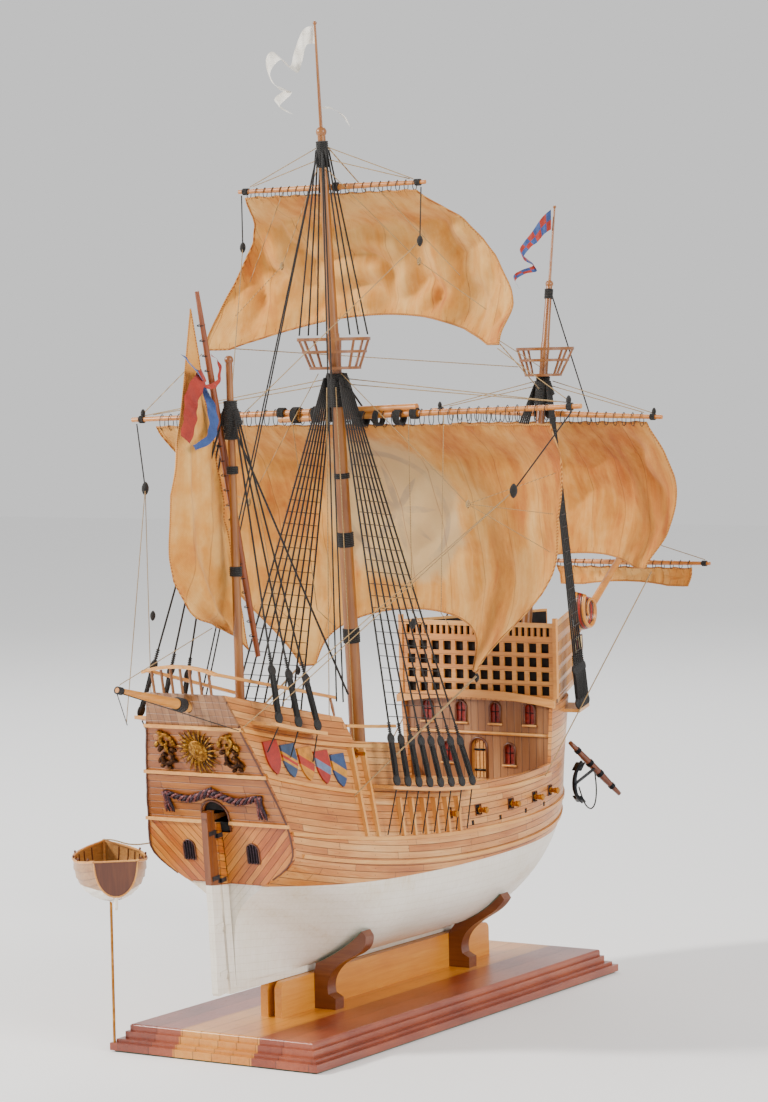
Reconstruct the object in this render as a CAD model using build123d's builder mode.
"""Model galleon on a display stand, with its ship's boat on a brass rod.

Millimetres.  +X points to the bow, +Y to port, +Z up.
The origin is the centre of the underside of the base board.
"""
import os
from math import cos, pi, radians, sin, sqrt, tan

from build123d import *

os.makedirs("parts", exist_ok=True)

# ---------------------------------------------------------------- driving dimensions
BASE_LENGTH = 430.0
BASE_WIDTH = 176.0
BASE_TOP = 19.0
FELT = 1.2
STRIP_SPLIT = 33.5          # half width of the centre strip of the board

KEEL_BOTTOM = 45.0          # underside of the keel above the table
RABBET = 50.0               # where the planking meets the keel
KEEL_HALF = 2.5
POST_HALF = 3.0             # half thickness of the deadwood and sternpost
BEAM_HALF = 72.0            # greatest half breadth, on the outside of the planking
TUCK = 124.0                # height where the bottom planking ends at the stern
KNUCKLE_Z = 167.0           # height where the stern turns from the tuck to the raked transom
TRANSOM_X = -199.0          # the stern at that turn
STEM_X = 258.0
PLANK = 3.0
SECTION_TOP = 300.0         # the sections run up past every deck and are trimmed later
SHIP_GAP = 0.3              # between the ship and the cradle felt

MAIN_FOOT = (-20.5, 226.0)  # (x, z) points on each mast's axis, and its rake
MAIN_RAKE = -4.0
FORE_FOOT = (224.0, 218.0)
FORE_RAKE = 9.8
MIZZEN_FOOT = (-170.0, 256.0)
MIZZEN_RAKE = -1.0
FALSE_KEEL_TOP = 120.5
DECK = 2.0                  # thickness of the decks

POOP_BREAK = -112.0         # forward end of the poop deck
QUARTER_BREAK = -50.0       # forward end of the quarterdeck
CASTLE_X = 155.0            # aft wall of the forecastle
CASTLE_DECK = 218.0
CASTLE_HALF = 70.0

SHROUD = 0.7                # radii of the ropes
RATLINE = 0.3
STAY = 0.8
LINE = 0.35
LANYARD = 0.25
DEADEYE = 3.5
DEADEYE_THICK = 2.4
CLEAR = 0.15                # space left between a rope's end and what it is seized to

finished = {}


def finish(part, name):
    """Label a finished piece and write its STEP file."""
    part.label = name
    finished[name] = part
    export_step(part, f"parts/{name}.step")


# ---------------------------------------------------------------- lines of the hull
def lower_wale(x):
    return 118 + 4.4e-4 * (x - 60) ** 2


def paint_line(x):
    return 113 + 1.9e-4 * (x - 30) ** 2


def main_wale(x):
    return 135 + 3.5e-4 * (x - 80) ** 2


def sheer_wale(x):
    return 162 + 4.5e-4 * (x - 90) ** 2


def quarter_wale(x):
    return 204 + 5.0e-4 * (x - 25) ** 2


def bulwark_top(x):
    return sheer_wale(x) + 7


def waist_deck(x):
    return sheer_wale(x) - 8


def quarter_deck(x):
    return quarter_wale(x) - 3


def quarter_top(x):
    return quarter_wale(x) + 2


def poop_side_top(x):
    return 237 + 0.22 * (-130 - x)


def poop_deck(x):
    return poop_side_top(x) - 4


def transom_x(z):
    """The stern's profile: a nearly upright tuck with the raked transom above it."""
    if z < KNUCKLE_Z:
        return TRANSOM_X + 8 * (KNUCKLE_Z - z) / 43
    return TRANSOM_X - 35 * (z - KNUCKLE_Z) / 90


def sternpost_x(z):
    return -193 - 0.0984 * (z - KEEL_BOTTOM)


TAFFRAIL = poop_side_top(-235)          # height of the top of the transom
POST_TOE = sternpost_x(RABBET) + 7      # where the planking's aft edge meets the keel


def share(value, start, end):
    """How far value lies from start to end, held between 0 and 1."""
    return min(1.0, max(0.0, (value - start) / (end - start)))


def keel_line(x):
    """Lower edge of the planking: straight, then rising in a quarter ellipse to the stem."""
    run = share(x, 120, STEM_X)
    return RABBET + 95 * (1 - sqrt(1 - run**2))


def greatest_breadth(x):
    if x < 30:
        return BEAM_HALF - 11 * ((30 - x) / 230) ** 2.2
    run = share(x, 30, STEM_X)
    return BEAM_HALF * (1 - run**3.4) ** 0.83


def breadth_height(x):
    reach = 220 if x < 20 else 235
    rise = 36 if x < 20 else 30
    return 122 + rise * ((x - 20) / reach) ** 2


def half_breadth(x, z):
    """Half breadth of the outside of the hull at station x and height z."""
    bottom, widest = keel_line(x), breadth_height(x)
    breadth = greatest_breadth(x)
    if z >= widest:
        rise = z - widest
        slope = 0.18 - 0.12 * x / 200 if x < 0 else max(-0.10, 0.18 - 0.24 * x / 155)
        return breadth - slope * rise**2 / (rise + 14)
    run = max(0.0, (z - bottom) / (widest - bottom))
    aft, fore = share(-x, 75, 190), share(x, 60, 250)
    hollow = 1 + 5 * aft**1.3
    fullness = 2.4 + 3.6 * aft - 0.9 * fore
    power = 0.625 + 0.375 * max(aft, fore)
    shape = (1 - (1 - run**hollow) ** fullness) ** power
    keel = min(POST_HALF, 0.8 * breadth)
    return keel + (breadth - keel) * shape


STATIONS = (-245, -215, -190, -168, -145, -118, -85, -40, 10, 60, 100, 130, 155, 178, 200, 220, 236, 248,
            STEM_X - 2)
LOWER_STEPS = (0, 0.08, 0.2, 0.34, 0.48, 0.62, 0.75, 0.88, 1)
UPPER_STEPS = (0.14, 0.32, 0.55, 0.78, 1)


def section_spots(x, offset):
    """Points (half breadth, height) down one side of the section at x."""
    bottom = keel_line(x) - min(0, offset)
    widest = breadth_height(x)
    heights = [bottom + (widest - bottom) * step for step in LOWER_STEPS]
    heights += [widest + (SECTION_TOP - widest) * step for step in UPPER_STEPS]
    return [(max(1.2, half_breadth(x, z + min(0, offset) * (z == bottom)) + offset), z) for z in heights]


def shares_of_length(spots):
    """How far along a chain of points each one lies, from 0 to 1."""
    lengths = [0.0]
    for (y, z), (next_y, next_z) in zip(spots, spots[1:]):
        lengths.append(lengths[-1] + sqrt((next_y - y) ** 2 + (next_z - z) ** 2))
    return [length / lengths[-1] for length in lengths]


SPACING = shares_of_length(section_spots(10, 0))    # every section's spline has the midship one's spacing


def hull_body(offset):
    """Solid hull, with its surface moved out by offset (in, where it is negative)."""
    with BuildPart() as body:
        for x in STATIONS:
            side = section_spots(x, offset)
            with BuildSketch(Plane(origin=(x, 0, 0), x_dir=(0, 1, 0), z_dir=(1, 0, 0))):
                with BuildLine():
                    port = Edge.make_spline(side, parameters=SPACING)
                    starboard = Edge.make_spline([(-y, z) for y, z in side], parameters=SPACING)
                    add([port, starboard])
                    Line(port @ 0, starboard @ 0)
                    Line(port @ 1, starboard @ 1)
                make_face()
        loft()
    return body.part


def side_band(lower, upper, x_aft, x_fore, reach=110):
    """The space between two lines of the side view, across the whole ship."""
    spots = [x_aft + (x_fore - x_aft) * i / 8 for i in range(9)]
    with BuildPart() as band:
        with BuildSketch(Plane.XZ):
            with BuildLine():
                bottom = Spline(*[(x, lower(x)) for x in spots])
                top = Spline(*[(x, upper(x)) for x in spots])
                Line(bottom @ 0, top @ 0)
                Line(bottom @ 1, top @ 1)
            make_face()
        extrude(amount=reach, both=True)
    return band.part


def side_outline():
    """Side view of the planked hull: keel, stem, castles, waist and raked stern."""
    stem = [(x, keel_line(x)) for x in (120, 165, 200, 230, 250, 256.5)]
    with BuildPart() as outline:
        with BuildSketch(Plane.XZ):
            with BuildLine():
                Polyline(
                    (120, RABBET), (POST_TOE, RABBET), (transom_x(TUCK), TUCK), (TRANSOM_X, KNUCKLE_Z),
                    (transom_x(TAFFRAIL), TAFFRAIL), (POOP_BREAK, poop_side_top(POOP_BREAK)),
                    (POOP_BREAK + 8, quarter_top(POOP_BREAK)), (QUARTER_BREAK, quarter_top(QUARTER_BREAK)),
                    (QUARTER_BREAK, bulwark_top(QUARTER_BREAK)), (0, bulwark_top(0)), (50, bulwark_top(50)),
                    (100, bulwark_top(100)),
                    (CASTLE_X - 3, bulwark_top(CASTLE_X)), (CASTLE_X - 3, CASTLE_DECK),
                    (STEM_X - 1.5, CASTLE_DECK), (STEM_X - 1.5, keel_line(STEM_X - 1.5)))
                Spline(*stem)
            make_face()
        extrude(amount=110, both=True)
    return outline.part


outer_hull = hull_body(0)
inner_hull = hull_body(-PLANK)
raised_hull = hull_body(1.5)
outline = side_outline()
full_shell = outer_hull - inner_hull
interior = inner_hull & outline


# ---------------------------------------------------------------- shared shapes
def mast_x(foot, rake, z):
    """Where a raked mast's axis is at height z."""
    return foot[0] + (z - foot[1]) * tan(radians(rake))


def rod(start, end, radius, end_radius=None):
    """A round rod between two points, straight or tapered."""
    axis = Vector(*end) - Vector(*start)
    with BuildPart() as piece:
        with BuildSketch(Plane(origin=start, z_dir=axis)):
            Circle(radius)
        if end_radius:
            with BuildSketch(Plane(origin=end, z_dir=axis)):
                Circle(end_radius)
            loft()
        else:
            extrude(amount=axis.length)
    return piece.part


def mirrored(pieces):
    """Port pieces with their starboard twins."""
    return list(pieces) + [piece.mirror(Plane.XZ) for piece in pieces]


def slab(x_aft, x_fore, half_width, z_low, z_high):
    """A box across the centreline."""
    with BuildPart(Plane(origin=((x_aft + x_fore) / 2, 0, (z_low + z_high) / 2))) as piece:
        Box(x_fore - x_aft, 2 * half_width, z_high - z_low)
    return piece.part


def along(start, end, distance):
    """The point at a distance from start on the way to end."""
    way = Vector(*end) - Vector(*start)
    return tuple(Vector(*start) + way.normalized() * distance)


def arch(width, height):
    """Draw a round-headed opening, its sill at the sketch's origin."""
    Rectangle(width, height - width / 2, align=(Align.CENTER, Align.MIN))
    with Locations((0, height - width / 2)):
        Circle(width / 2)


# ---------------------------------------------------------------- stand
with BuildPart() as board:
    with BuildSketch(Plane.XY.offset(FELT)):
        Rectangle(BASE_LENGTH, BASE_WIDTH)
    extrude(amount=6.5 - FELT)
    for inset, low, high in ((3.5, 6.5, 9), (8, 9, 14), (10.5, 14, BASE_TOP)):
        with BuildSketch(Plane.XY.offset(low)):
            Rectangle(BASE_LENGTH - 2 * inset, BASE_WIDTH - 2 * inset)
        extrude(amount=high - low)
    rims = board.edges().filter_by(Plane.XY).group_by(Axis.Z)
    fillet(rims[-1], radius=1.6)

strips = []
for y_low, y_high in ((STRIP_SPLIT, BASE_WIDTH), (-STRIP_SPLIT, STRIP_SPLIT), (-BASE_WIDTH, -STRIP_SPLIT)):
    with BuildPart() as strip:
        add(board.part)
        with Locations((0, (y_low + y_high) / 2, BASE_TOP / 2)):
            Box(2 * BASE_LENGTH, y_high - y_low, 2 * BASE_TOP, mode=Mode.INTERSECT)
    strips.append(strip.part)
finish(strips[1], "base_centre_strip")
with BuildPart() as base_side_strips:
    add([strips[0], strips[2]])
finish(base_side_strips.part, "base_side_strips")

with BuildPart() as base_felt:
    with BuildSketch():
        RectangleRounded(BASE_LENGTH - 3, BASE_WIDTH - 3, 3)
    extrude(amount=FELT)
finish(base_felt.part, "base_felt")

RAIL_IN, RAIL_OUT, RAIL_TOP = 3.0, 9.0, KEEL_BOTTOM - SHIP_GAP
with BuildPart() as rail:
    with BuildSketch(Plane.XZ.offset(-RAIL_IN)):
        with Locations((5, (BASE_TOP + RAIL_TOP) / 2)):
            Rectangle(290, RAIL_TOP - BASE_TOP)
        fillet(vertices(), radius=6)
        with Locations((5, BASE_TOP + 3)):
            Rectangle(290, 6)
    extrude(amount=RAIL_IN - RAIL_OUT)
with BuildPart() as cradle_rails:
    add(mirrored([rail.part]))
finish(cradle_rails.part, "cradle_rails")

ARM_THICK = 11.0
ARM_FELT = 1.0


def arm_curve(x, gap):
    """The hull's section over the thickness of a cradle arm, with a gap around it."""
    def widest(z):
        return max(half_breadth(x + shift * ARM_THICK / 2, z) for shift in (-1, 1)) + gap
    return [(widest(z), z) for z in (52, 56, 62, 70, 78)]


def cradle_arm(x):
    """One curved arm on the port side, with its felt lining."""
    seat, lining = arm_curve(x, SHIP_GAP + ARM_FELT + 0.4), arm_curve(x, SHIP_GAP + 0.4)
    tip = seat[-1]
    with BuildPart() as arm:
        with BuildSketch(Plane(origin=(x - ARM_THICK / 2, 0, 0), x_dir=(0, 1, 0), z_dir=(1, 0, 0))):
            with BuildLine():
                Polyline(seat[0], (RAIL_OUT, 45), (RAIL_OUT, BASE_TOP), (27, BASE_TOP), (27, BASE_TOP + 8),
                         (21, BASE_TOP + 11))
                Spline((21, BASE_TOP + 11), (22, 42), (35, 55), (52, 66), (tip[0] + 3, tip[1] - 4))
                Line((tip[0] + 3, tip[1] - 4), tip)
                Spline(*seat)
            make_face()
        extrude(amount=ARM_THICK)
    with BuildPart() as felt:
        with BuildSketch(Plane(origin=(x - ARM_THICK / 2, 0, 0), x_dir=(0, 1, 0), z_dir=(1, 0, 0))):
            with BuildLine():
                Spline(*seat)
                Spline(*lining)
                Line(seat[0], lining[0])
                Line(seat[-1], lining[-1])
            make_face()
        extrude(amount=ARM_THICK)
    return arm.part, felt.part


felts = []
for name, x in (("cradle_arms_aft", -92.0), ("cradle_arms_fore", 95.0)):
    arm_part, felt_part = cradle_arm(x)
    felts.append(felt_part)
    with BuildPart() as arms:
        add(mirrored([arm_part]))
    finish(arms.part, name)
with BuildPart() as cradle_felt:
    add(mirrored(felts))
finish(cradle_felt.part, "cradle_felt")

# ---------------------------------------------------------------- ship's boat
ROD_AT = (-212.6, 85.6)
ROD_TOP = 107.0
BOAT_HEADING = 42.0
BOAT_LENGTH = 88.0
BOAT_HALF = 26.0
BOAT_DEPTH = 31.0
BOAT_PLANK = 1.4


def boat_point(u, v, z):
    """A point of the boat: u forward of the rod, v to port, z above its keel."""
    heading = radians(BOAT_HEADING)
    x = ROD_AT[0] + u * cos(heading) - v * sin(heading)
    y = ROD_AT[1] + u * sin(heading) + v * cos(heading)
    return (x, y, ROD_TOP + z)


def boat_breadth(t):
    """Half breadth along the boat, t running from the transom to the stem."""
    if t < 0.5:
        return BOAT_HALF * (0.6 + 0.4 * sin(pi * t))
    return max(1.6, BOAT_HALF * (1 - (2 * t - 1) ** 2.6))


def boat_sheer(t):
    return BOAT_DEPTH + 5 * (2 * t - 0.9) ** 2


def boat_floor(t):
    return 10 * (1 - t) ** 3 + 12 * max(0, (t - 0.6) / 0.4) ** 2


def boat_plane(u, z=0.0):
    """A plane across the boat at u, its first axis to port."""
    here = Vector(*boat_point(u, 0, z))
    to_port = Vector(*boat_point(u, 1, z)) - here
    ahead = Vector(*boat_point(u + 1, 0, z)) - here
    return Plane(origin=here, x_dir=to_port, z_dir=ahead)


def boat_body(inset):
    """The boat's full-bodied form with a flat transom; the inner one is open at the top."""
    with BuildPart() as boat:
        for t in (0, 0.15, 0.35, 0.55, 0.75, 0.9, 0.99):
            half, floor = boat_breadth(t) - inset, boat_floor(t) + inset
            reach = boat_sheer(t) + 3 * inset - floor
            side = [(max(0.5, half * sin(pi / 2 * k) ** 0.8), floor + reach * k**1.7)
                    for k in (0.04, 0.25, 0.5, 0.75, 1)]
            with BuildSketch(boat_plane((t - 0.5) * BOAT_LENGTH)):
                with BuildLine():
                    port = Spline(*side)
                    starboard = Spline(*[(-y, z) for y, z in side])
                    Line(port @ 0, starboard @ 0)
                    Line(port @ 1, starboard @ 1)
                make_face()
        loft()
    return boat.part


boat_outer = boat_body(0)
boat_inner = boat_body(BOAT_PLANK)
with BuildPart() as dinghy_hull:
    add(boat_outer)
    add(boat_inner, mode=Mode.SUBTRACT)
    with BuildSketch(boat_plane(-BOAT_LENGTH / 2)):
        with BuildLine():
            tuck = Spline(*[(BOAT_HALF * 0.6 * k, 10 + 21 * k**2) for k in (-0.96, -0.6, 0, 0.6, 0.96)])
            Line(tuck @ 0, tuck @ 1)
        make_face()
    extrude(amount=BOAT_PLANK)
    with BuildSketch(boat_plane(-BOAT_LENGTH / 2)):
        with Locations((0, 6.5)):
            Rectangle(2.4, 11)
    extrude(amount=BOAT_LENGTH * 0.75)
    with BuildSketch(Plane.XY.offset(ROD_TOP - 1)):
        with Locations(ROD_AT):
            Circle(1.05)
    extrude(amount=4.5, mode=Mode.SUBTRACT)
with BuildPart() as thwarts:
    for u in (-20, 4, 24):
        with BuildSketch(boat_plane(u, 22)):
            Rectangle(2 * BOAT_HALF, 1.2)
        extrude(amount=6)
    add(boat_inner, mode=Mode.INTERSECT)
with BuildPart() as dinghy:
    add(dinghy_hull.part)
    add(thwarts.part)
finish(dinghy.part, "dinghy")

with BuildPart() as dinghy_rod:
    with BuildSketch(Plane.XY.offset(6.5)):
        with Locations(ROD_AT):
            Circle(1.0)
    extrude(amount=ROD_TOP + 3.4 - 6.5)
finish(dinghy_rod.part, "dinghy_rod")

# ---------------------------------------------------------------- keel, frames and planking
TRANSOM_THICK = 2.2
with BuildPart() as keel_and_stem:
    with BuildSketch(Plane.XZ):
        with BuildLine():
            stem_in = Spline(*[(x, keel_line(x)) for x in (120, 165, 200, 230, 250, 256.5)])
            stem_out = Spline((126, KEEL_BOTTOM), (172, 55), (210, 67), (240, 91), (259, 123), (267, 160))
            Polyline(stem_in @ 0, (POST_TOE, RABBET), (transom_x(TUCK) - TRANSOM_THICK, TUCK),
                     (TRANSOM_X - TRANSOM_THICK, KNUCKLE_Z), (sternpost_x(KNUCKLE_Z), KNUCKLE_Z),
                     (sternpost_x(KEEL_BOTTOM), KEEL_BOTTOM), stem_out @ 0)
            Polyline(stem_out @ 1, (265, CASTLE_DECK - 6), (STEM_X - 1.5, CASTLE_DECK - 6), stem_in @ 1)
        make_face()
    extrude(amount=KEEL_HALF, both=True)
finish(keel_and_stem.part, "keel_and_stem")

FRAME_SPOTS = (-150, -104, -56, 16, 60, 106, 148, 193)
false_keel = interior & slab(-184, 252, 2.0, RABBET, FALSE_KEEL_TOP)
with BuildPart() as hull_frames:
    for x in FRAME_SPOTS:
        add(slab(x - 1.5, x + 1.5, BEAM_HALF, keel_line(x) + PLANK + 2, waist_deck(x) - DECK - 2))
    add(hull_body(-PLANK - 0.4), mode=Mode.INTERSECT)
    add(false_keel)
finish(hull_frames.part, "hull_frames")

BIG_PORTS = (-4, 36, 82, 120, 150)
SMALL_PORTS = (27, 66, 105, 138)
PORT_SIZE = 7.0
BORE = 1.75
HELM_PORT = (20.0, 22.0)


def big_port_height(x):
    return (main_wale(x) + sheer_wale(x)) / 2 + 0.5


with BuildPart() as planking:
    add(full_shell)
    add(outline, mode=Mode.INTERSECT)
    for x in BIG_PORTS:
        recess = half_breadth(x, big_port_height(x)) - 1.4
        for side in (-1, 1):
            with Locations((x, side * (recess + 10), big_port_height(x))):
                Box(PORT_SIZE, 20, PORT_SIZE, mode=Mode.SUBTRACT)
            with Locations((x, side * recess, big_port_height(x))):
                Cylinder(BORE + 0.05, 20, rotation=(90, 0, 0), mode=Mode.SUBTRACT)
    for x in SMALL_PORTS:
        for side in (-1, 1):
            with Locations((x, side * 70, main_wale(x) + 5.5)):
                Box(3.6, 20, 3.6, mode=Mode.SUBTRACT)
below_paint = side_band(lambda x: 40, paint_line, -200, 262)
with BuildPart() as lower_planking:
    add(planking.part)
    add(below_paint, mode=Mode.INTERSECT)
finish(lower_planking.part, "lower_planking")
with BuildPart() as upper_planking:
    add(planking.part)
    add(below_paint, mode=Mode.SUBTRACT)
    add(keel_and_stem.part, mode=Mode.SUBTRACT)
finish(upper_planking.part, "upper_planking")

BOOMKIN_FOOT, BOOMKIN_TIP = (-232.6, 0, 251.0), (-313.5, 0, 270.0)
with BuildPart() as stern_slab:
    with BuildSketch(Plane.XZ):
        with BuildLine():
            Polyline((transom_x(TUCK), TUCK), (TRANSOM_X, KNUCKLE_Z), (transom_x(TAFFRAIL), TAFFRAIL),
                     (transom_x(TAFFRAIL) - TRANSOM_THICK, TAFFRAIL), (TRANSOM_X - TRANSOM_THICK, KNUCKLE_Z),
                     (transom_x(TUCK) - TRANSOM_THICK, TUCK), close=True)
        make_face()
    extrude(amount=90, both=True)
with BuildPart() as tuck_bulkhead:
    with BuildSketch(Plane.XZ):
        with BuildLine():
            Polyline((POST_TOE, RABBET), (transom_x(TUCK), TUCK), (transom_x(TUCK + 6), TUCK + 6),
                     (transom_x(TUCK + 6) + 2.4, TUCK + 6), (POST_TOE + 2.4, RABBET), close=True)
        make_face()
    extrude(amount=90, both=True)
    add(inner_hull, mode=Mode.INTERSECT)
with BuildPart() as transom:
    add(stern_slab.part)
    add(outer_hull, mode=Mode.INTERSECT)
    add(slab(-215, -185, POST_HALF, 100, KNUCKLE_Z), mode=Mode.SUBTRACT)
    with BuildSketch(Plane.YZ.offset(-212)):
        with Locations((0, 160)):
            arch(*HELM_PORT)
    extrude(amount=20, mode=Mode.SUBTRACT)
    add(rod(along(BOOMKIN_FOOT, BOOMKIN_TIP, -8), BOOMKIN_TIP, 4.1), mode=Mode.SUBTRACT)
    add(tuck_bulkhead.part)
finish(transom.part, "transom")

STERN_BANDS = (KNUCKLE_Z, 202, 236)     # heights of the mouldings across the transom
WALES = ((lower_wale, -188, 250), (main_wale, -199, 253), (sheer_wale, -214, CASTLE_X - 4),
         (quarter_wale, -228, QUARTER_BREAK))
with BuildPart() as wale_bands:
    add([side_band(lambda x, line=line: line(x) - 1.3, lambda x, line=line: line(x) + 1.3, x_aft, x_fore)
         for line, x_aft, x_fore in WALES])
with BuildPart() as wales:
    add(raised_hull)
    add(outer_hull, mode=Mode.SUBTRACT)
    add(wale_bands.part, mode=Mode.INTERSECT)
    for z in STERN_BANDS:
        x = transom_x(z) - TRANSOM_THICK
        half = half_breadth(x, z) + 0.6
        reach = HELM_PORT[0] / 2 + 0.8 if z == STERN_BANDS[0] else 0
        for side in (-1, 1):
            with Locations((x - 0.5, side * (reach + half) / 2, z)):
                Box(3, half - reach, 2.4)
    add(stern_slab.part, mode=Mode.SUBTRACT)
finish(wales.part, "wales")

QUARTER_FENDERS = [(x, main_wale, quarter_wale) for x in (-113, -99)]
WAIST_FENDERS = [(x, main_wale, sheer_wale) for x in (-67.7, -53, -38, -23.2, -8.3, 6.6)]
with BuildPart() as fenders:
    for x, low, high in QUARTER_FENDERS + WAIST_FENDERS:
        for side in (-1, 1):
            z_low, z_high = low(x) + 1.6, high(x) - 1.6
            y_low, y_high = half_breadth(x, z_low), half_breadth(x, z_high)
            with BuildSketch(Plane(origin=(x - 1.3, 0, 0), x_dir=(0, side, 0), z_dir=(side, 0, 0))):
                with BuildLine():
                    Polyline((y_low - 3, z_low), (y_low + 2.4, z_low), (y_high + 4.2, z_high),
                             (y_high - 3, z_high), close=True)
                make_face()
            extrude(amount=2.6 * side)
    add(outer_hull, mode=Mode.SUBTRACT)
    add(wales.part, mode=Mode.SUBTRACT)
finish(fenders.part, "fenders")

# ---------------------------------------------------------------- decks and castles
MAIN_R, FORE_R, MIZZEN_R = 6.0, 4.6, 3.6


def mast_hole(foot, rake, z, radius):
    with BuildPart() as hole:
        with Locations((mast_x(foot, rake, z), 0, z)):
            Cylinder(radius + 0.6, 30)
    return hole.part


with BuildPart() as main_deck:
    add(interior)
    add(side_band(lambda x: waist_deck(x) - DECK, waist_deck, -198, 240), mode=Mode.INTERSECT)
finish(main_deck.part, "main_deck")

with BuildPart() as quarterdeck:
    add(interior)
    quarter_space = side_band(lambda x: quarter_deck(x) - DECK, quarter_deck, -232, QUARTER_BREAK)
    add(quarter_space, mode=Mode.INTERSECT)
    add(mast_hole(MIZZEN_FOOT, MIZZEN_RAKE, 219, MIZZEN_R), mode=Mode.SUBTRACT)
finish(quarterdeck.part, "quarterdeck")

with BuildPart() as poop_deck_plate:
    add(interior)
    add(side_band(lambda x: poop_deck(x) - DECK, poop_deck, -236, POOP_BREAK), mode=Mode.INTERSECT)
    add(mast_hole(MIZZEN_FOOT, MIZZEN_RAKE, 242, MIZZEN_R), mode=Mode.SUBTRACT)
finish(poop_deck_plate.part, "poop_deck")

with BuildPart() as cabin_walls:
    add(side_band(waist_deck, lambda x: quarter_deck(x) - DECK, QUARTER_BREAK - 2.5, QUARTER_BREAK - 0.5))
    add(side_band(quarter_deck, lambda x: poop_deck(x) - DECK, POOP_BREAK - 2.5, POOP_BREAK - 0.5))
    add(interior, mode=Mode.INTERSECT)
    with BuildSketch(Plane.YZ.offset(QUARTER_BREAK - 4)):
        with Locations((-20, waist_deck(QUARTER_BREAK) + 1), (20, waist_deck(QUARTER_BREAK) + 1)):
            arch(13, 30)
    extrude(amount=5, mode=Mode.SUBTRACT)
finish(cabin_walls.part, "cabin_walls")

WINDOW_ROWS = ((200, (-46.5, -15.5, 15.5, 46.5)), (168, (-28, 28)))
with BuildPart() as forecastle_wall:
    add(interior)
    add(side_band(waist_deck, lambda x: CASTLE_DECK, CASTLE_X, CASTLE_X + 2.2), mode=Mode.INTERSECT)
    for sill, places in WINDOW_ROWS:
        with BuildSketch(Plane.YZ.offset(CASTLE_X - 1)):
            with Locations(*[(y, sill) for y in places]):
                arch(9, 16)
        extrude(amount=5, mode=Mode.SUBTRACT)
    with BuildSketch(Plane.YZ.offset(CASTLE_X - 1)):
        with Locations((0, waist_deck(CASTLE_X) + 1)):
            arch(14, 31)
    extrude(amount=5, mode=Mode.SUBTRACT)
finish(forecastle_wall.part, "forecastle_wall")

CASTLE_SWEEP = 24.0        # the castle's sides close in towards the bow by this angle
SIDE_RUN = 152.0           # length of each side along the deck's edge
NOSE_X = CASTLE_X + SIDE_RUN * cos(radians(CASTLE_SWEEP))
NOSE_HALF = CASTLE_HALF + 1 - SIDE_RUN * sin(radians(CASTLE_SWEEP))
BOWSPRIT_FOOT, BOWSPRIT_TIP = (262.0, 0, 221.3), (412.0, 0, 329.0)
with BuildPart() as forecastle_deck:
    with BuildSketch(Plane.XY.offset(CASTLE_DECK)):
        with BuildLine():
            Polyline((NOSE_X, NOSE_HALF), (CASTLE_X, CASTLE_HALF + 2), (CASTLE_X - 2.5, CASTLE_HALF + 2),
                     (CASTLE_X - 2.5, -CASTLE_HALF - 2), (CASTLE_X, -CASTLE_HALF - 2), (NOSE_X, -NOSE_HALF))
            ThreePointArc((NOSE_X, NOSE_HALF), (NOSE_X + 6, 0), (NOSE_X, -NOSE_HALF))
        make_face()
    extrude(amount=3)
    add(mast_hole(FORE_FOOT, FORE_RAKE, CASTLE_DECK + 1, FORE_R), mode=Mode.SUBTRACT)
finish(forecastle_deck.part, "forecastle_deck")

with BuildPart() as forecastle_beam:
    with BuildSketch(Plane.YZ.offset(CASTLE_X - 5.6)):
        with BuildLine():
            ThreePointArc((CASTLE_HALF + 1.5, 214), (0, 220), (-CASTLE_HALF - 1.5, 214))
            ThreePointArc((CASTLE_HALF + 1.5, 220), (0, 226), (-CASTLE_HALF - 1.5, 220))
            Line((CASTLE_HALF + 1.5, 214), (CASTLE_HALF + 1.5, 220))
            Line((-CASTLE_HALF - 1.5, 214), (-CASTLE_HALF - 1.5, 220))
        make_face()
    extrude(amount=2.4)

DECK_TOP = CASTLE_DECK + 3
CELL, HOLE = 11.0, 7.4


def lattice(plane, width, columns, height=58.0):
    """A panel of square holes with a solid plank and a row of slots above it."""
    with BuildPart() as panel:
        with BuildSketch(plane):
            with Locations((width / 2, height / 2)):
                Rectangle(width, height)
            with Locations((width / 2, 22)):
                with GridLocations(CELL, CELL, columns, 4):
                    Rectangle(HOLE, HOLE, mode=Mode.SUBTRACT)
            with Locations((width / 2, height - 7)):
                with GridLocations(5.5, 1, 2 * columns, 1):
                    Rectangle(3.2, 7, mode=Mode.SUBTRACT)
        extrude(amount=2)
    return panel.part


closing = radians(CASTLE_SWEEP)
aft_plane = Plane(origin=(CASTLE_X + 0.5, -CASTLE_HALF + 2, DECK_TOP), x_dir=(0, 1, 0), z_dir=(1, 0, 0))
side_start = (CASTLE_X + 3.2, CASTLE_HALF - 0.6, DECK_TOP)
side_plane = Plane(origin=side_start, x_dir=(cos(closing), -sin(closing), 0),
                   z_dir=(-sin(closing), -cos(closing), 0))
side_panel = lattice(side_plane, 140.0, 12)
with BuildPart() as corner_post:
    with BuildSketch(Plane.XY.offset(DECK_TOP)):
        with Locations((CASTLE_X + 0.9, CASTLE_HALF - 0.1)):
            Rectangle(3.2, 3.2)
    extrude(amount=62)
with BuildPart() as forecastle_lattice:
    add([lattice(aft_plane, 2 * CASTLE_HALF - 4, 12)] + mirrored([side_panel]))
finish(forecastle_lattice.part, "forecastle_lattice")
with BuildPart() as forecastle_frame:
    add(forecastle_beam.part)
    add(mirrored([corner_post.part]))
finish(forecastle_frame.part, "forecastle_frame")

# ---------------------------------------------------------------- rails
POOP_RAIL, QUARTER_RAIL = 15.0, 13.0


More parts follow.
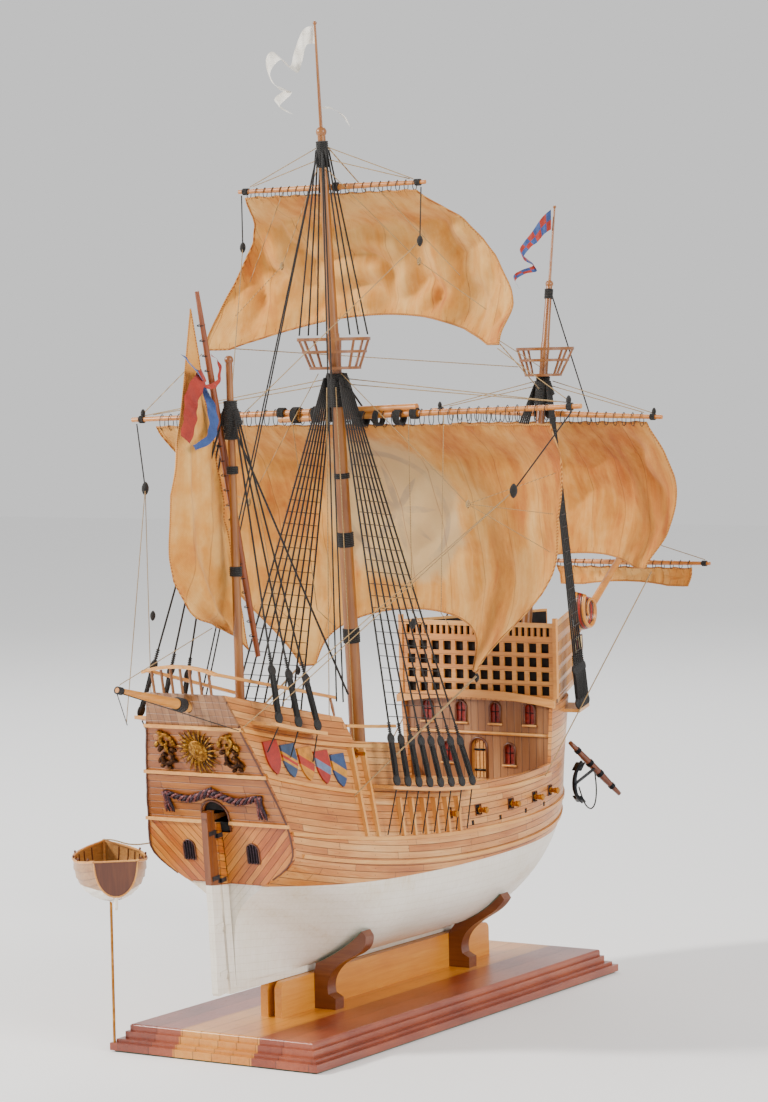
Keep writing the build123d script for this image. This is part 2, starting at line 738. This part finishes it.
def rail_strip(line, height, x_aft, x_fore):
    """A rail that follows the hull's side, at a height above a line of the side view."""
    strip = side_band(lambda x: line(x) + height - 2.2, lambda x: line(x) + height, x_aft, x_fore)
    return full_shell & strip


def side_balusters(line, height, x_aft, x_fore, pitch):
    """Turned posts between the top of the side and its rail."""
    count = int((x_fore - x_aft) / pitch)
    posts = []
    for i in range(count + 1):
        x = x_aft + i * (x_fore - x_aft) / count
        low, high = line(x) + 0.1, line(x) + height - 2.3
        middle = (low + high) / 2
        points = [(x, half_breadth(x, z) - PLANK / 2, z) for z in (low, middle, high)]
        posts.append(rod(points[0], points[1], 0.8, 1.15))
        posts.append(rod(points[1], points[2], 1.15, 0.8))
    return posts



with BuildPart() as rail_tops:
    add(rail_strip(poop_side_top, POOP_RAIL, -243, POOP_BREAK))
    add(rail_strip(quarter_top, QUARTER_RAIL, POOP_BREAK + 4, QUARTER_BREAK))
stern_high = TAFFRAIL + POOP_RAIL
with BuildPart() as stern_rail:
    with BuildSketch(Plane.YZ.offset(-244)):
        with BuildLine():
            ThreePointArc((31, stern_high - 1.5), (0, stern_high + 3), (-31, stern_high - 1.5))
            ThreePointArc((31, stern_high + 0.9), (0, stern_high + 5.4), (-31, stern_high + 0.9))
            Line((31, stern_high - 1.5), (31, stern_high + 0.9))
            Line((-31, stern_high - 1.5), (-31, stern_high + 0.9))
        make_face()
    extrude(amount=3)
with BuildPart() as rails:
    add(rail_tops.part)
    add(stern_rail.part)
finish(rails.part, "rails")
stern_posts = [rod((-238.5, y, TAFFRAIL + 0.2), (-241.5, y, stern_high + 2.6 - 4.5 * (y / 31) ** 2), 1.0)
               for y in (-24, -16, -8, 0, 8, 16, 24)]
with BuildPart() as balusters:
    add(mirrored(side_balusters(poop_side_top, POOP_RAIL, -232, -118, 9)))
    add(mirrored(side_balusters(quarter_top, QUARTER_RAIL, -102, -55, 9)))
    add(stern_posts)
    add(rails.part, mode=Mode.SUBTRACT)
finish(balusters.part, "balusters")

# ---------------------------------------------------------------- masts, tops and spars
MAIN_HEAD, MAIN_CAP, MAIN_TRUCK = 505.0, 650.0, 729.0
FORE_HEAD, FORE_CAP, FORE_TRUCK = 495.0, 541.0, 604.0
MIZZEN_HEAD = 488.0


def mast_point(foot, rake, z, ahead=0.0, side=0.0):
    return (mast_x(foot, rake, z) + ahead, side, z)


def main_at(z, ahead=0.0, side=0.0):
    return mast_point(MAIN_FOOT, MAIN_RAKE, z, ahead, side)


def fore_at(z, ahead=0.0, side=0.0):
    return mast_point(FORE_FOOT, FORE_RAKE, z, ahead, side)


def mizzen_at(z, ahead=0.0, side=0.0):
    return mast_point(MIZZEN_FOOT, MIZZEN_RAKE, z, ahead, side)


def truck(point, radius):
    """The ball on a masthead."""
    with BuildPart(Plane(origin=point)) as ball:
        Sphere(radius)
    return ball.part


main_step = waist_deck(mast_x(MAIN_FOOT, MAIN_RAKE, 157)) + 0.7
fore_step = waist_deck(mast_x(FORE_FOOT, FORE_RAKE, 160)) + 1.2
mizzen_step = waist_deck(MIZZEN_FOOT[0]) + 0.6
with BuildPart() as main_mast:
    add(rod(main_at(main_step), main_at(MAIN_HEAD), MAIN_R, 4.4))
finish(main_mast.part, "main_mast")
with BuildPart() as main_topmast:
    add([rod(main_at(MAIN_HEAD), main_at(MAIN_CAP), 4.0, 2.9), truck(main_at(MAIN_CAP + 1), 3.9)])
    add([rod(main_at(MAIN_CAP), main_at(MAIN_TRUCK), 1.3, 0.8), truck(main_at(MAIN_TRUCK), 1.5)])
finish(main_topmast.part, "main_topmast")
with BuildPart() as fore_mast:
    add(rod(fore_at(fore_step), fore_at(FORE_HEAD), FORE_R, 3.4))
finish(fore_mast.part, "fore_mast")
with BuildPart() as fore_topmast:
    add([rod(fore_at(FORE_HEAD), fore_at(FORE_CAP), 3.1, 2.4), truck(fore_at(FORE_CAP + 1), 3.2)])
    add([rod(fore_at(FORE_CAP), fore_at(FORE_TRUCK), 1.2, 0.8), truck(fore_at(FORE_TRUCK), 1.4)])
finish(fore_topmast.part, "fore_topmast")
with BuildPart() as mizzen_mast:
    add(rod(mizzen_at(mizzen_step), mizzen_at(MIZZEN_HEAD), MIZZEN_R, 2.4))
    add(truck(mizzen_at(MIZZEN_HEAD), 3.2))
finish(mizzen_mast.part, "mizzen_mast")


def basket(foot, rake, low, high, low_radius, high_radius, mast_radius):
    """A round top: a floor, three hoops and the ribs between them."""
    def hoop(z, radius, depth):
        spot = Plane(origin=mast_point(foot, rake, z), x_dir=(cos(radians(rake)), 0, -sin(radians(rake))))
        with BuildPart(spot) as ring:
            Cylinder(radius + 0.9, depth)
            Cylinder(radius - 0.9, depth, mode=Mode.SUBTRACT)
        return ring.part

    middle = (low + 1.3 * high) / 2.3
    with BuildPart() as top:
        with BuildPart(Plane(origin=mast_point(foot, rake, low)), mode=Mode.PRIVATE) as floor:
            Cylinder(low_radius, 2)
            Cylinder(mast_radius + 0.5, 4, mode=Mode.SUBTRACT)
        add(floor.part)
        add(hoop(middle, low_radius + (high_radius - low_radius) * 0.56, 2))
        add(hoop(high, high_radius, 2.4))
        for i in range(8):
            turn = 2 * pi * (i + 0.5) / 8
            out = Vector(cos(turn), sin(turn), 0)
            rib_foot = Vector(*mast_point(foot, rake, low)) + out * (low_radius - 1.0)
            rib_head = Vector(*mast_point(foot, rake, high)) + out * (high_radius - 0.1)
            add(rod(tuple(rib_foot), tuple(rib_head), 1.0))
    return top.part


MAIN_TOP = (480, 501, 19.0, 26.0)
FORE_TOP = (469, 490, 15.0, 22.5)
with BuildPart() as main_top:
    add(basket(MAIN_FOOT, MAIN_RAKE, *MAIN_TOP, 5.0))
finish(main_top.part, "main_top")
with BuildPart() as fore_top:
    add(basket(FORE_FOOT, FORE_RAKE, *FORE_TOP, 3.8))
finish(fore_top.part, "fore_top")


def yard(centre, reach, cant, middle_radius, end_radius):
    """A one-piece yard, thickest in the middle."""
    rise = reach * tan(radians(cant))
    ends = [(centre[0], side * reach, centre[2] - side * rise) for side in (-1, 1)]
    return [rod(centre, end, middle_radius, end_radius) for end in ends]


MAIN_YARD, TOP_YARD = main_at(446.5, 12.8), main_at(611.5, 7.9)
FORE_YARD, SPRIT_YARD = fore_at(438, 7.0), (397.0, 0, 310.0)
MAIN_CANT, YARD_LAP = 1.1, 60.0
lean = tan(radians(MAIN_CANT))
with BuildPart() as main_yard:
    x, _, z = MAIN_YARD
    for side in (-1, 1):
        inner_end = (x, side * -YARD_LAP, z + side * 2.9 + side * YARD_LAP * lean)
        add(rod(inner_end, (x, side * 196, z - side * 196 * lean), 2.8, 1.8))
finish(main_yard.part, "main_yard")
with BuildPart() as topsail_yard:
    add(yard(TOP_YARD, 81, 0.3, 2.4, 1.5))
finish(topsail_yard.part, "topsail_yard")
with BuildPart() as fore_yard:
    add(yard(FORE_YARD, 106, -1.9, 2.8, 1.7))
finish(fore_yard.part, "fore_yard")
with BuildPart() as spritsail_yard:
    add(yard(SPRIT_YARD, 81, 0, 2.4, 1.5))
finish(spritsail_yard.part, "spritsail_yard")
LATEEN_LOW, LATEEN_JOIN, LATEEN_PEAK = (-134, 8.6, 277), (-166, 8.6, 404), (-198.5, 8.6, 536)
with BuildPart() as mizzen_yard:
    lateen_axis = Vector(*LATEEN_PEAK) - Vector(*LATEEN_LOW)
    for spot, radius in ((LATEEN_LOW, 1.9), (LATEEN_JOIN, 2.7), (LATEEN_PEAK, 1.5)):
        with BuildSketch(Plane(origin=spot, z_dir=lateen_axis)):
            Circle(radius)
    loft()
finish(mizzen_yard.part, "mizzen_yard")
with BuildPart() as bowsprit:
    add([rod(BOWSPRIT_FOOT, BOWSPRIT_TIP, 4.0, 2.6)])
    add(forecastle_deck.part, mode=Mode.SUBTRACT)
finish(bowsprit.part, "bowsprit")
with BuildPart() as boomkin:
    add(rod(BOOMKIN_FOOT, BOOMKIN_TIP, 4.0, 1.9))
    add(poop_deck_plate.part, mode=Mode.SUBTRACT)
finish(boomkin.part, "boomkin")

# ---------------------------------------------------------------- sails
CLOTH = 1.2


def square_sail(levels):
    """A bellied square sail, lofted through arcs given as (z, half width, leech x, belly)."""
    with BuildPart() as sail:
        for z, half, x, belly in levels:
            with BuildSketch(Plane.XY.offset(z)):
                with BuildLine():
                    ThreePointArc((x, -half), (x + belly, 0), (x, half))
                    ThreePointArc((x - CLOTH, -half), (x + belly - CLOTH, 0), (x - CLOTH, half))
                    Line((x, -half), (x - CLOTH, -half))
                    Line((x, half), (x - CLOTH, half))
                make_face()
        loft()
    return sail.part


def foot_arch(x, half, low, rise):
    """The rounded hollow cut in a sail's foot."""
    with BuildPart() as hollow:
        with BuildSketch(Plane.YZ.offset(x - 100)):
            with BuildLine():
                ThreePointArc((-half, low), (0, low + rise), (half, low))
                Polyline((-half, low), (-half, low - 20), (half, low - 20), (half, low))
            make_face()
        extrude(amount=300)
    return hollow.part


def sail_node(levels, half, rise, name):
    with BuildPart() as sail:
        add(square_sail(levels))
        add(foot_arch(levels[-1][2], half, levels[-1][0], rise), mode=Mode.SUBTRACT)
    finish(sail.part, name)


sail_node(((438, 172, -25, 5), (410, 166, 0, 26), (370, 156, 12, 38), (320, 141, 20, 44), (254, 78, 24, 42)),
          70, 42, "main_course")
sail_node(((607, 74, -41, 4), (585, 92, -4, 14), (555, 112, 8, 20), (525, 128, 0, 30), (495, 128, -20, 40)),
          112, 24, "main_topsail")
sail_node(((431, 90, 273, 5), (405, 97, 290, 26), (375, 100, 303, 34), (340, 90, 305, 34),
           (312, 73, 298, 30)), 60, 10, "fore_course")
sail_node(((306, 64, 397, 2), (299, 62, 399, 3), (291, 60, 397, 4)), 40, 3, "spritsail")
with BuildPart() as mizzen_sail:
    with BuildSketch(Plane.XZ.offset(-12)):
        with BuildLine():
            luff = Line((-140, 282), (-201, 524))
            leech = Spline(luff @ 1, (-213, 461), (-229, 380), (-228, 345), (-205, 315))
            Spline(leech @ 1, (-180, 303), (-155, 293), luff @ 0)
        make_face()
    extrude(amount=-CLOTH)
finish(mizzen_sail.part, "mizzen_sail")

# ---------------------------------------------------------------- channels, deadeyes and shrouds
CHANNEL = 2.4
MAIN_CHANNEL_Y, MIZZEN_CHANNEL_Y = 80.0, 60.0
FORE_CHANNEL_Z = 210.5


def main_channel_z(x):
    return sheer_wale(x) + 6.5


def mizzen_channel_z(x):
    return quarter_wale(x) + 8


with BuildPart() as channels:
    add(side_band(lambda x: main_channel_z(x) - CHANNEL, main_channel_z, -97, 22, MAIN_CHANNEL_Y))
    add(side_band(lambda x: mizzen_channel_z(x) - CHANNEL, mizzen_channel_z, -214, -150, MIZZEN_CHANNEL_Y))
    for side in (-1, 1):
        with BuildSketch(Plane.XY.offset(FORE_CHANNEL_Z - CHANNEL)):
            with BuildLine():
                Polyline((177, side * 50), (180, side * 77), (226, side * 60), (224, side * 30), close=True)
            make_face()
        extrude(amount=CHANNEL)
    add(outer_hull, mode=Mode.SUBTRACT)
    add(fenders.part, mode=Mode.SUBTRACT)
finish(channels.part, "channels")


class Gang:
    """The shrouds of one side of a mast: places for deadeyes, ropes and chain plates."""

    def __init__(self, spots, channel_z, channel_y, hounds, drop, spread, rest):
        self.upper, self.lower, self.heads, self.rest = [], [], [], rest
        middle = (len(spots) - 1) / 2
        for i, x in enumerate(spots):
            y = channel_y(x) - 0.2
            low = (x, y, channel_z(x) + DEADEYE + 0.6)
            head = (hounds[0] + (i - middle) * spread, hounds[1], hounds[2])
            self.lower.append(low)
            self.upper.append(along(low, head, drop))
            self.heads.append(head)


def spread_out(first, last, count):
    return [first + (last - first) * i / (count - 1) for i in range(count)]


main_head, mizzen_head, fore_head = main_at(473), mizzen_at(452), fore_at(462)
gangs = {
    "main": Gang(spread_out(-90, 14, 8), main_channel_z, lambda x: MAIN_CHANNEL_Y - 1.5,
                 (main_head[0], 6.6, 473), 30, 1.6, lambda x: (x, main_wale(x) + 2.4)),
    "mizzen": Gang(spread_out(-208, -160, 3), mizzen_channel_z, lambda x: MIZZEN_CHANNEL_Y - 1.5,
                   (mizzen_head[0], 4.2, 452), 33, 1.7, lambda x: (x, sheer_wale(x) + 17)),
    "fore": Gang(spread_out(183, 222, 5), lambda x: FORE_CHANNEL_Z, lambda x: 77 - 17 * (x - 180) / 46 - 1.5,
                 (fore_head[0], 5.4, 462), 27, 1.6, None),
}
deadeye_pieces, rope_pieces, lanyard_pieces, plate_pieces = [], [], [], []
for gang in gangs.values():
    for low, high, head in zip(gang.lower, gang.upper, gang.heads):
        for centre in (low, high):
            with BuildPart(Plane(origin=centre, x_dir=(1, 0, 0), z_dir=(0, 1, 0.25))) as eye:
                Cylinder(DEADEYE, DEADEYE_THICK)
                chamfer(eye.edges().filter_by(GeomType.CIRCLE), length=0.5)
            deadeye_pieces.append(eye.part)
        rope_pieces.append(rod(along(high, head, DEADEYE + CLEAR), head, SHROUD))
        for shift in (-1.4, 0, 1.4):
            start, end = [tuple(Vector(*spot) + Vector(shift, 0, 0)) for spot in (low, high)]
            reach = sqrt(DEADEYE**2 - shift**2) + 0.6
            lanyard_pieces.append(rod(along(start, end, reach), along(end, start, reach), LANYARD))
        if gang.rest:
            x, z = gang.rest(low[0])
            plate_pieces.append(rod((low[0], low[1] - 0.6, low[2] - DEADEYE - CHANNEL - 1.0),
                                    (x, half_breadth(x, z) + 2.6, z), 0.5))
with BuildPart() as deadeyes:
    add(mirrored(deadeye_pieces + plate_pieces))
finish(deadeyes.part, "deadeyes_and_chains")
with BuildPart() as shrouds:
    add(mirrored(rope_pieces))
    for crossed in (main_yard, mizzen_yard, mizzen_sail):   # where a shroud bears on a spar or on the sail
        add(crossed.part, mode=Mode.SUBTRACT)
finish(shrouds.part, "shrouds")

OUT = SHROUD + RATLINE + 0.12
ratline_pieces = []
for name, steps in (("main", 26), ("fore", 20)):
    gang = gangs[name]
    for i in range(steps):
        t = 0.06 + 0.86 * i / steps
        ends = [Vector(*gang.upper[k]) * (1 - t) + Vector(*gang.heads[k]) * t for k in (0, -1)]
        first, last = [tuple(end + Vector(0, OUT, 0.25 * OUT)) for end in ends]
        ratline_pieces.append(rod(first, last, RATLINE))
with BuildPart() as ratlines:
    add(mirrored(ratline_pieces + lanyard_pieces))
finish(ratlines.part, "ratlines_and_lanyards")

# ---------------------------------------------------------------- rudder
AXIS_BACK = 2.0             # the rudder's axis lies this far behind the sternpost
GUDGEONS = (12.0, 46.0, 80.0, 112.0)
PIN, HOLE_R, KNUCKLE = 0.6, 0.75, 1.5
BLADE_HALF = 2.5
BLADE_LOW, BLADE_HIGH = 2.0, 132.0
post_lean = Vector(-0.0984, 0, 1).normalized()
rudder_plane = Plane(origin=(sternpost_x(KEEL_BOTTOM) - AXIS_BACK, 0, KEEL_BOTTOM),
                     x_dir=Vector(post_lean.Z, 0, -post_lean.X), z_dir=(0, -1, 0))
pin_plane = Plane(origin=rudder_plane.origin, x_dir=rudder_plane.x_dir, z_dir=post_lean)


def on_pin(height):
    """A plane square to the rudder's axis, its first axis forward."""
    return pin_plane.offset(height)


def strap(height, x_aft, x_fore, width):
    """A pair of flat straps along both sides of the post or blade."""
    with BuildPart(on_pin(height)) as plates:
        for side in (-1, 1):
            with Locations(((x_aft + x_fore) / 2, side * (BLADE_HALF + 0.34), width / 2)):
                Box(x_fore - x_aft, 0.6, width)
    return plates.part


with BuildPart() as gudgeons:
    for g in GUDGEONS:
        add(strap(g, 1.35, 7.0, 3.0))
        with BuildSketch(on_pin(g)):
            Circle(KNUCKLE)
            with Locations((1.65, 0)):
                Rectangle(0.6, 2 * BLADE_HALF + 1.2)
            Circle(HOLE_R, mode=Mode.SUBTRACT)
        extrude(amount=3.0)
    add(transom.part, mode=Mode.SUBTRACT)
finish(gudgeons.part, "gudgeons")

with BuildPart() as rudder_blade:
    with BuildSketch(rudder_plane):
        with BuildLine():
            Polyline((-13.5, BLADE_LOW + 2), (-12.5, BLADE_LOW), (-0.9, BLADE_LOW), (-0.9, BLADE_HIGH),
                     (-9.5, BLADE_HIGH), (-10.5, 100), (-10.8, 60), (-13.5, BLADE_LOW + 2))
        make_face()
        for g in GUDGEONS:
            with Locations((0, g + 3.2)):
                Rectangle(4.6, 7.2, mode=Mode.SUBTRACT)
    extrude(amount=BLADE_HALF, both=True)
    with BuildSketch(rudder_plane):
        with Locations((12, BLADE_HIGH - 5.5)):
            Rectangle(44, 3.0)
    extrude(amount=1.8, both=True)
finish(rudder_blade.part, "rudder_blade")

with BuildPart() as pintles:
    for g in GUDGEONS:
        add(strap(g + 3.3, -9.0, -1.2, 3.0))
        with BuildSketch(on_pin(g + 3.3)):
            Circle(KNUCKLE - 0.1)
            with Locations((-1.6, 0)):
                Rectangle(1.2, 2 * BLADE_HALF + 1.28)
        extrude(amount=3.0)
        with BuildSketch(on_pin(g - 0.3)):
            Circle(PIN)
        extrude(amount=4.0)
    add(rudder_blade.part, mode=Mode.SUBTRACT)
finish(pintles.part, "pintles")

# ---------------------------------------------------------------- guns, shields and carvings
with BuildPart() as cannons:
    for x in BIG_PORTS:
        z = big_port_height(x)
        y = half_breadth(x, z)
        barrel = rod((x, y - 2.7, z), (x, y + 6.5, z), BORE)
        muzzle = rod((x, y + 6.5, z), (x, y + 8, z), BORE + 0.4)
        add(mirrored([barrel, muzzle]))
    x, z = -106.0, 207.0
    y = half_breadth(x, z)
    with BuildPart(mode=Mode.PRIVATE) as round_port:
        add([rod((x, y - 1, z), (x, y + 0.9, z), 3.5), rod((x, y + 0.9, z), (x, y + 8, z), 1.5)])
        add(outer_hull, mode=Mode.SUBTRACT)
    add(mirrored([round_port.part]))
finish(cannons.part, "cannons")

SHIELD_WIDTH, SHIELD_HEIGHT = 15.5, 23.0
with BuildPart() as shield_shapes:
    for i in range(5):
        x, z = -201 + 18 * i, 214.5 - 4.2 * i
        edge = SHIELD_WIDTH / 2
        with BuildSketch(Plane.XZ):
            with BuildLine():
                Polyline((x - edge, z + 2), (x - edge, z + SHIELD_HEIGHT / 2),
                         (x + edge, z + SHIELD_HEIGHT / 2), (x + edge, z + 2))
                ThreePointArc((x - edge, z + 2), (x - 5.5, z - 6), (x, z - SHIELD_HEIGHT / 2))
                ThreePointArc((x + edge, z + 2), (x + 5.5, z - 6), (x, z - SHIELD_HEIGHT / 2))
            make_face()
        extrude(amount=90, both=True)
with BuildPart() as shields:
    add(raised_hull)
    add(shield_shapes.part, mode=Mode.INTERSECT)
    add(outer_hull, mode=Mode.SUBTRACT)
    add(wales.part, mode=Mode.SUBTRACT)
finish(shields.part, "shields")


def stern_plane(z, y=0.0):
    """A plane on the transom's outside, its second axis up the slope."""
    run = 35 / 90 if z > KNUCKLE_Z else -8 / 43
    spot = (transom_x(z) - TRANSOM_THICK - 0.02, y, z)
    return Plane(origin=spot, x_dir=(0, -1, 0), z_dir=Vector(-1, 0, -run).normalized())


def leaf(plane, points, thick=1.5):
    """One carved leaf: a crescent through start, bulge, tip and hollow."""
    start, bulge, tip, hollow = points
    with BuildPart() as piece:
        with BuildSketch(plane):
            with BuildLine():
                ThreePointArc(start, bulge, tip)
                ThreePointArc(start, hollow, tip)
            make_face()
        extrude(amount=thick)
    return piece.part


def sun_disc(plane):
    """A disc with short and long rays."""
    with BuildPart() as sun:
        with BuildSketch(plane):
            Circle(9)
        extrude(amount=2.4)
        with BuildSketch(plane):
            for i in range(16):
                turn = 2 * pi * i / 16
                tip = 16.0 if i % 2 else 13.5
                root = [(8.5 * cos(turn + half), 8.5 * sin(turn + half)) for half in (-0.14, 0.14)]
                Polygon(root[0], (tip * cos(turn), tip * sin(turn)), root[1], align=None)
        extrude(amount=1.2)
    return sun.part


def grating(plane):
    """A small arched window with three slots."""
    with BuildPart() as piece:
        with BuildSketch(plane):
            arch(10, 14)
            with Locations((-2.6, 5.5), (0, 6), (2.6, 5.5)):
                Rectangle(1.2, 9, mode=Mode.SUBTRACT)
        extrude(amount=1.0)
    return piece.part


carvings = [sun_disc(stern_plane(219))]
for side in (-1, 1):
    beside = stern_plane(219, -28 * side)
    carvings += [leaf(beside, ((-3 * side, 10), (5 * side, 6), (0, -1), (1.5 * side, 5))),
                 leaf(beside, ((0, 0.5), (-6 * side, -5), (2 * side, -11), (-2.5 * side, -5))),
                 leaf(beside, ((6 * side, -1), (0.5 * side, -2), (-5 * side, 2.5), (0.5 * side, 1.5))),
                 leaf(stern_plane(184, -22 * side),
                      ((21 * side, 6), (0, -4.5), (-19 * side, 3.5), (0, 0.6)), 2.4),
                 leaf(stern_plane(184, -43 * side), ((-1.5, 6), (-4, -4), (0, -11), (3.5, -3)), 2.0),
                 grating(stern_plane(146, -27 * side))]

# the scroll at the head of the forecastle, beside the bowsprit
with BuildPart() as prow_scroll:
    for i in range(4):
        with BuildSketch(Plane.XZ.offset(4.6 + 2.2 * i)):
            with Locations((313 - 2.5 * abs(i - 1), 271)):
                Ellipse(14 - i, 12 - i)
        extrude(amount=2.2)
    with BuildSketch(Plane.XZ.offset(4.6)):
        with Locations((304, 244)):
            Ellipse(7, 16)
    extrude(amount=3.0)
with BuildPart() as carved_work:
    add(carvings)
    add(prow_scroll.part)
    add(transom.part, mode=Mode.SUBTRACT)
finish(carved_work.part, "carvings")

# ---------------------------------------------------------------- anchor and its cable
STOCK_LOW, STOCK_HIGH = (266, -64, 133.5), (229, -40, 178)
CROWN = (193, -64, 150)
shank_head = tuple((a + b) / 2 for a, b in zip(STOCK_LOW, STOCK_HIGH))
with BuildPart() as anchor:
    add([rod(STOCK_LOW, STOCK_HIGH, 2.2), rod(CROWN, shank_head, 1.2), truck(CROWN, 1.6)])
    for rise in (-1, 1):
        elbow = (CROWN[0] + 5, CROWN[1] + 1, CROWN[2] + 10 * rise)
        tip = (CROWN[0] + 15, CROWN[1] + 2, CROWN[2] + 16 * rise)
        add([rod(CROWN, elbow, 1.2), rod(elbow, tip, 1.1), truck(elbow, 1.2)])
        palm_plane = Plane(origin=along(tip, elbow, 4), z_dir=Vector(*tip) - Vector(*elbow))
        with BuildPart(palm_plane, mode=Mode.PRIVATE) as palm:
            Box(5, 7, 1.2, rotation=(0, 90, 0))
        add(palm.part)
finish(anchor.part, "anchor")


def corners(route):
    """Half turn at each inner point of a route, and the bend radius that suits it."""
    radii = []
    for before, here, after in zip(route, route[1:], route[2:]):
        way_in, way_out = Vector(*here) - Vector(*before), Vector(*after) - Vector(*here)
        half_turn = radians(way_in.get_angle(way_out)) / 2
        radii.append(0.45 * min(way_in.length, way_out.length) / tan(half_turn))
    return radii


def cord(route, radius, name):
    """A round cord along straight runs joined by tangent arcs."""
    with BuildLine() as path:
        FilletPolyline(*route, radius=corners(route))
    with BuildPart() as piece:
        with BuildSketch(Plane(origin=route[0], z_dir=Vector(*route[1]) - Vector(*route[0]))):
            Circle(radius)
        sweep(path=path.wire())
    print(name, "radii", [round(r, 2) for r in corners(route)], "volume", round(piece.part.volume, 2),
          "section by length", round(pi * radius**2 * path.wire().length, 2))
    finish(piece.part, name)


CABLE = 0.6
CABLE_ROUTE = ((196.5, -65.8, 147.6), (201, -65.8, 139), (209, -65.2, 130.5), (219, -64.2, 127),
               (228, -62.6, 130), (234.5, -60.4, 138), (239, -57.6, 147), (242.5, -54.6, 153.5))
cord(CABLE_ROUTE, CABLE, "anchor_cable")
TOW = 0.5
TOW_ROUTE = ((-180.9, 113.6, 145.4), (-184, 106, 146.3), (-187.5, 97, 146.2), (-190.5, 87.5, 145.2),
             (-191.5, 78.5, 145.2), (-190.2, 70.5, 146.2), (-187.6, 64.2, 147.4))
cord(TOW_ROUTE, TOW, "tow_line")

# ---------------------------------------------------------------- stays and running rigging
CENTRE_LINES = (            # (start, end, radius) of the stays on the centreline
    (fore_at(FORE_CAP - 6, 3.8), (406, 0, 331), STAY * 0.7),
    (main_at(474, 7.0), fore_at(262, -7.2), STAY),
    (mizzen_at(438, 5.2), main_at(240, -9.2), STAY),
    (main_at(MAIN_CAP - 8, 4.6), fore_at(458, -5.2), STAY * 0.6),
    ((-186.5, 11, 301), (-311, 0, 273.2), LINE),
)


def side_lines(side):
    """The stays and running ropes of one side: (start, end, radius)."""
    top_x, main_x, fore_x = TOP_YARD[0], MAIN_YARD[0], FORE_YARD[0]
    main_z = MAIN_YARD[2] - side * 184 * lean
    fore_z = FORE_YARD[2] + side * 98 * tan(radians(1.9))
    block = (-58, side * 160, 392)
    top_block = (-42, side * 77, 570)
    ropes = [
        (main_at(640, 0, side * 4.2), (top_x, side * 71, TOP_YARD[2] + 3.0), LINE),
        (main_at(631, 0, side * 4.4), (top_x, side * 68, TOP_YARD[2] + 3.2), LINE),
        (main_at(472, 2, side * 9), (main_x, side * 184, main_z + 3.0), LINE),
        (main_at(468, 2, side * 9), (main_x, side * 176, main_z + 3.6), LINE),
        (fore_at(464, 2, side * 8), (fore_x, side * 98, fore_z + 3.0), LINE),
        (fore_at(460, 2, side * 8), (fore_x, side * 90, fore_z + 3.4), LINE),
        (main_at(636, -3.8, side * 2), (-135, side * 58, 247), STAY * 0.7),
        (main_at(632, -3.8, side * 3), (-128, side * 59, 246), STAY * 0.7),
        ((main_x - 2.8, side * 190, main_z - 3.4), block, STAY * 0.7),
        (block, (-238, side * 49, 239), LINE),
        (block, (-199, side * 56, 253), LINE),
        ((top_x - 1, side * 78, TOP_YARD[2] - 3.0), top_block, STAY * 0.6),
        (top_block, (-166, side * 5.5, 450), LINE),
        ((-24, side * 129, 492), (main_x, side * 187, main_z + 3.6), LINE),
        ((-16, side * 127, 497), fore_at(476, -24, side * 10), LINE),
        ((22, side * 79, 252), (-134, side * 70.5, 181), LINE),
        ((20, side * 80, 251), (-119, side * 71.5, 188), LINE),
        ((296, side * 80, 310), (127, side * 75.5, 165), LINE),
        ((-311, side * 2, 267.5), (-240, side * 47, 237), LINE),
        ((398, side * 76, 313), (408, side * 3.2, 331), LINE),
        (main_at(466, -7, side * 4), (-40, side * 12, 164), LINE),
    ]
    for ahead in (-12, 0, 12):
        ropes.append((main_at(638, ahead * 0.2, side * 3.9), main_at(504, ahead, side * 22), SHROUD * 0.9))
    return ropes


with BuildPart() as stays_and_lines:
    add([rod(*line) for line in CENTRE_LINES])
    for side in (-1, 1):
        add([rod(*line) for line in side_lines(side)])
finish(stays_and_lines.part, "stays_and_lines")

# ---------------------------------------------------------------- pennants
FLAG_THICK = 0.8
LEE = radians(122.3)        # the pennants stream to the port quarter


def pennant(origin, heading, points):
    """A flat pennant: points are (distance from the staff, height)."""
    across = Vector(cos(heading), sin(heading), 0)
    with BuildPart() as flag:
        with BuildSketch(Plane(origin=origin, x_dir=across, z_dir=across.cross(Vector(0, 0, 1)))):
            Polygon(*points, align=None)
        extrude(amount=FLAG_THICK / 2, both=True)
    return flag.part


MAIN_FLAG = ((5, 727), (14, 723), (15, 706), (27, 717), (39, 702), (36, 688), (30, 680), (22, 660),
             (12, 662), (17, 683), (22, 697), (13, 698), (4.6, 712))
FORE_FLAG = ((-3.8, 602), (8, 599), (14, 586), (9, 573), (24, 571), (25, 556), (38, 546), (36, 540),
             (18, 549), (14, 562), (0, 566), (-1.0, 580))
MIZZEN_FLAG = ((186.5, 481), (198, 478), (212, 486), (224, 497), (210, 474), (206, 452), (224, 428),
               (214, 425), (202, 446), (200, 438), (208, 424), (196, 424), (192, 440), (186, 456))
flags = [pennant((main_at(650)[0], 0, 0), LEE, MAIN_FLAG), pennant((fore_at(541)[0], 0, 0), LEE, FORE_FLAG),
         pennant((0, 5.0, 0), pi, MIZZEN_FLAG)]
with BuildPart() as pennants:
    add(flags)
finish(pennants.part, "pennants")
